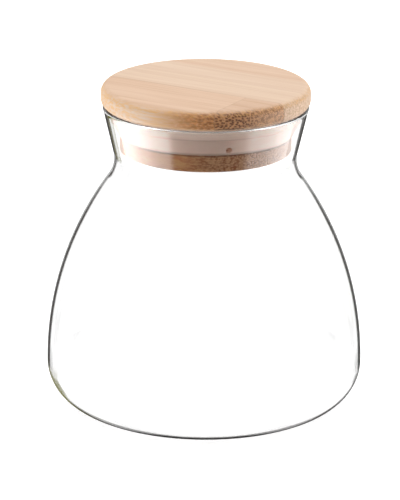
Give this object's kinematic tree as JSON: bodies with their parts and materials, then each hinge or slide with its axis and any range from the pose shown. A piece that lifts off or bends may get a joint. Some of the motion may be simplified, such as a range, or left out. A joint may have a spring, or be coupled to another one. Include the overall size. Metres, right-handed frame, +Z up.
{
  "type": "food canister",
  "caption": "Clear blown glass storage jar with a bell-shaped body, waisted throat and flared neck, closed by a bamboo plug lid with a silicone seal ring.",
  "frame": {"origin": "centre of the plane that the jar stands on, on the jar's axis", "axes": "+Z up along the jar's axis, -Y towards the front, where the seal's vent hole is, +X to the right"},
  "size_m": [0.1378, 0.1378, 0.1418],
  "materials": {
    "clear_glass": "clear, fire-polished",
    "seal_silicone": "translucent white, satin",
    "bamboo_tan": "sanded and oiled, satin",
    "bamboo_pale": "sanded and oiled, satin"
  },
  "bodies": {
    "jar": {"jar_body": "clear_glass"},
    "lid": {"silicone_seal": "seal_silicone", "disc_strip_back": "bamboo_tan", "disc_strip_mid_back": "bamboo_pale", "disc_strip_mid_front": "bamboo_pale", "disc_strip_front_long": "bamboo_tan", "disc_strip_front_short": "bamboo_tan", "plug_strip_back": "bamboo_tan", "plug_strip_mid_back": "bamboo_pale", "plug_strip_mid_front": "bamboo_pale", "plug_strip_front": "bamboo_tan"}
  },
  "joints": [
    {"name": "lid_lift", "type": "slide", "parent": "jar", "child": "lid", "axis": [0, 0, 1], "range_m": [0, 0.12]}
  ]
}
